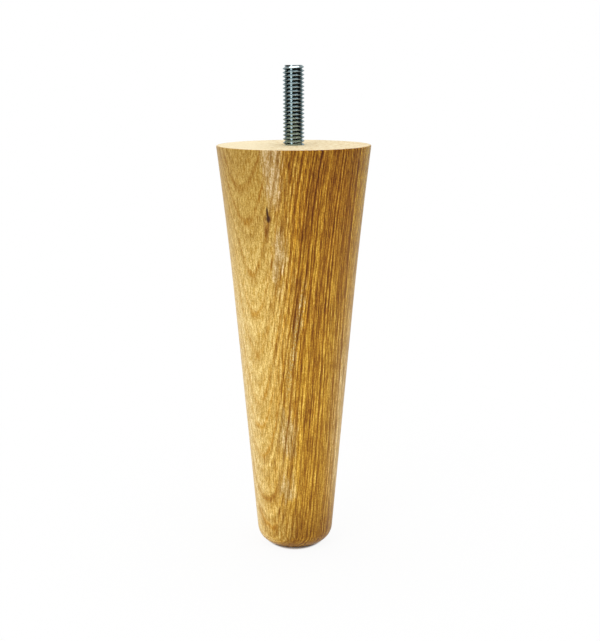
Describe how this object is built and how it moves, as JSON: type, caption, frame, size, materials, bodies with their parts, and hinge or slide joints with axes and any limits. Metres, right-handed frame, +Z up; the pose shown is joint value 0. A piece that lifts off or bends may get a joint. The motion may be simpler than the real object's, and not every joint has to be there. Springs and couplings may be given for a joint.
{
  "type": "tapered furniture leg",
  "caption": "Round tapered wooden furniture leg with a rounded foot and a threaded hanger-bolt stud standing out of its flat mounting face.",
  "frame": {"origin": "centre of the foot, on the floor", "axes": "+Z up along the turning axis, from the foot to the mounting face and the stud"},
  "size_m": [0.057, 0.057, 0.1814],
  "materials": {
    "oak": "clear satin lacquer on the turned side, bare end grain on the mounting face",
    "zinc_plated_steel": "bright zinc plating"
  },
  "bodies": {
    "root": {"turned_leg": "oak", "hanger_bolt": "zinc_plated_steel"}
  },
  "joints": []
}
